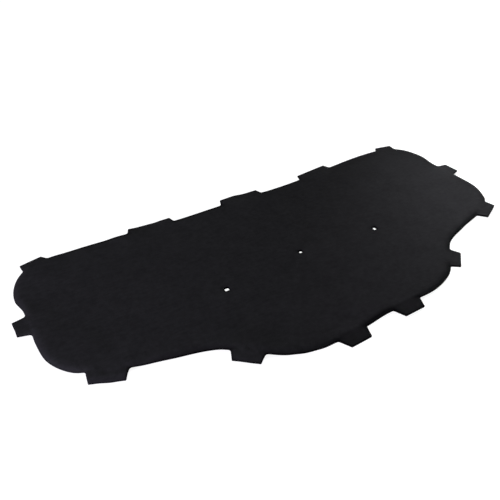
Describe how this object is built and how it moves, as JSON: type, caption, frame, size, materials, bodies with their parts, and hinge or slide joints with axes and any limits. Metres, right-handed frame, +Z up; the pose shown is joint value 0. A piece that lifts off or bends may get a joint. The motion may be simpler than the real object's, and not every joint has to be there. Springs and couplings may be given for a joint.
{
  "type": "hood insulation pad",
  "caption": "Moulded black felt pad that lines the underside of a car hood, with a rolled-down edge, tuck-in tabs round its outline and square clip holes.",
  "frame": {"origin": "centre of the pad's bounding box, on the flat back face that it lies on", "axes": "+X across the car, along the pad's longest side; +Y to the pad's nearly straight rear edge, with the nose at -Y; +Z up out of the finished face"},
  "size_m": [1.4026, 0.6612, 0.0075],
  "materials": {
    "felt": "matte black needled felt, pressed smooth"
  },
  "bodies": {
    "root": {"insulation_pad": "felt"}
  },
  "joints": []
}
